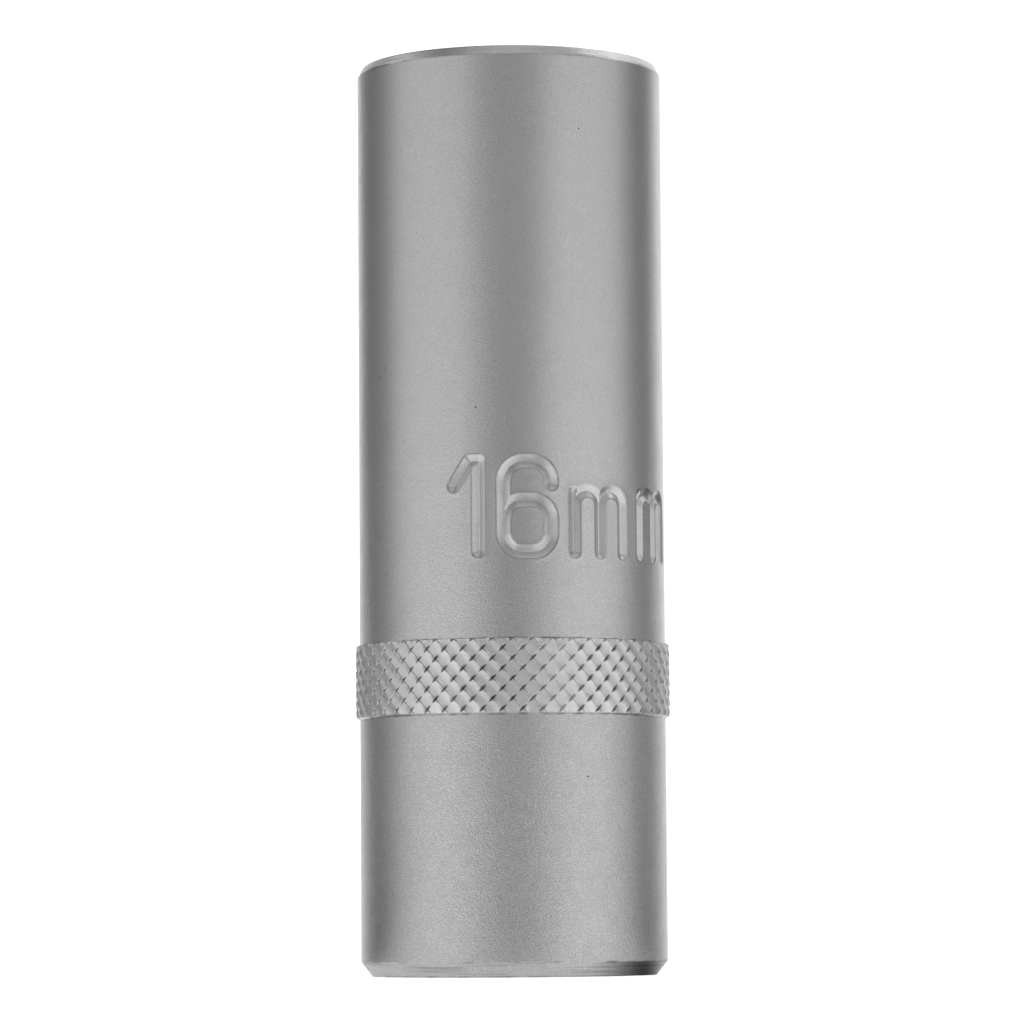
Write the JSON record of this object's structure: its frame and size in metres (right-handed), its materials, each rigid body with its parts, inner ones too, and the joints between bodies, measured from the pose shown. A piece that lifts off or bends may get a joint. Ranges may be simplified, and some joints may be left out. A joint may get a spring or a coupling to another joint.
{
  "type": "spark plug socket",
  "caption": "Deep spark plug socket: round steel body with a square drive, a hexagon mouth, a diamond-knurled grip band and a rubber sleeve that holds the plug.",
  "frame": {"origin": "centre of the drive face, which the socket stands on", "axes": "+Z along the socket's axis, from the square drive to the hexagon mouth; -Y faces the picture's camera"},
  "size_m": [0.0224, 0.0224, 0.065],
  "materials": {
    "satin_chrome": "satin chrome plate on steel, fine blasted grain",
    "black_rubber": "matte moulded rubber"
  },
  "bodies": {
    "root": {"socket_body": "satin_chrome", "rubber_sleeve": "black_rubber"}
  },
  "joints": []
}
